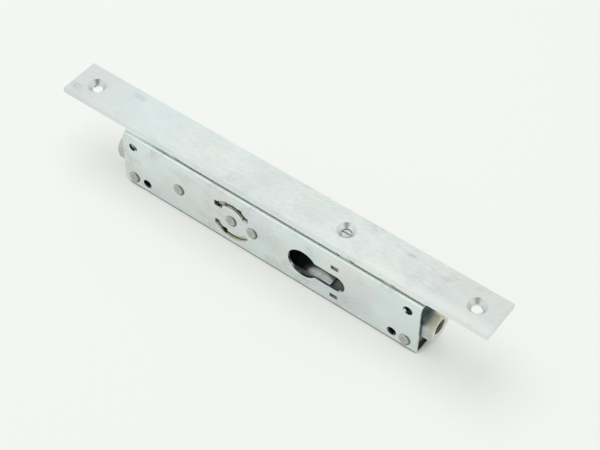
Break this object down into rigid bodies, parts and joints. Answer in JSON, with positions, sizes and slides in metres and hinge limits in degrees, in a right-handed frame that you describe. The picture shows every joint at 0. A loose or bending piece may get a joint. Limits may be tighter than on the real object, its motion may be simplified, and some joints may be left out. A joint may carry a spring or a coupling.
{
  "type": "sliding door espagnolette lock",
  "caption": "Sliding door espagnolette lock: long faceplate on a folded steel case with a profile cylinder keyhole; a rotor and opposed slides drive a threaded rod coupling at each end.",
  "frame": {"origin": "on the floor of the case, under the middle of the lock; the near wall is on the -Y side", "axes": "+X along the faceplate towards the cylinder keyhole's leg, +Y across the faceplate away from the rivet heads, +Z out of the door edge, square to the faceplate"},
  "size_m": [0.25, 0.0224, 0.0468],
  "materials": {
    "zinc_plate": "brushed zinc plate",
    "zinc_sheet": "pale zinc-plated sheet",
    "rivet_steel": "peened steel",
    "turned_steel": "turned",
    "spring_steel": "blued spring steel",
    "screw_steel": "zinc-plated",
    "yellow_zinc": "yellow-passivated zinc",
    "cast_zinc": "yellow-passivated zinc"
  },
  "bodies": {
    "case": {"faceplate": "zinc_plate", "faceplate_post_left": "zinc_plate", "faceplate_post_right": "zinc_plate", "screw_sleeve": "zinc_plate", "case_body": "zinc_sheet", "case_lid": "zinc_sheet", "corner_rivet_left": "rivet_steel", "corner_rivet_right": "rivet_steel", "guide_rivet_left": "rivet_steel", "guide_rivet_right": "rivet_steel", "pivot_rivet": "rivet_steel", "corner_sleeve_left": "turned_steel", "corner_sleeve_right": "turned_steel", "guide_sleeve_left": "turned_steel", "guide_sleeve_right": "turned_steel", "pivot_sleeve": "turned_steel", "guide_spacer_left": "turned_steel", "guide_spacer_right": "turned_steel", "brake_spring": "spring_steel", "cylinder_screw": "screw_steel"},
    "rotor": {"rotor_hub": "turned_steel", "rotor_cheek_near": "yellow_zinc", "rotor_cheek_far": "yellow_zinc", "rotor_pin_upper": "turned_steel", "rotor_pin_lower": "turned_steel"},
    "right_bar": {"right_slide": "yellow_zinc", "right_coupling": "cast_zinc", "right_coupling_rivets": "cast_zinc", "drive_lug_left": "yellow_zinc", "drive_lug_right": "yellow_zinc"},
    "left_bar": {"left_slide": "yellow_zinc", "left_coupling": "cast_zinc", "left_coupling_rivets": "cast_zinc"}
  },
  "joints": [
    {"name": "right_bar_slide", "type": "slide", "parent": "case", "child": "right_bar", "axis": [1, 0, 0], "range_m": [0, 0.01353]},
    {"name": "left_bar_slide", "type": "slide", "parent": "case", "child": "left_bar", "axis": [-1, 0, 0], "range_m": [0, 0.01353]},
    {"name": "rotor_turn", "type": "hinge", "parent": "case", "child": "rotor", "pos_m": [-0.0206, 0, 0.0168], "axis": [0, 1, 0], "range_deg": [0, 76]}
  ],
  "couplings": [
    {"joint": "left_bar_slide", "follows": "right_bar_slide", "ratio": 1},
    {"joint": "rotor_turn", "follows": "right_bar_slide", "rad_per_m": 97.932}
  ]
}
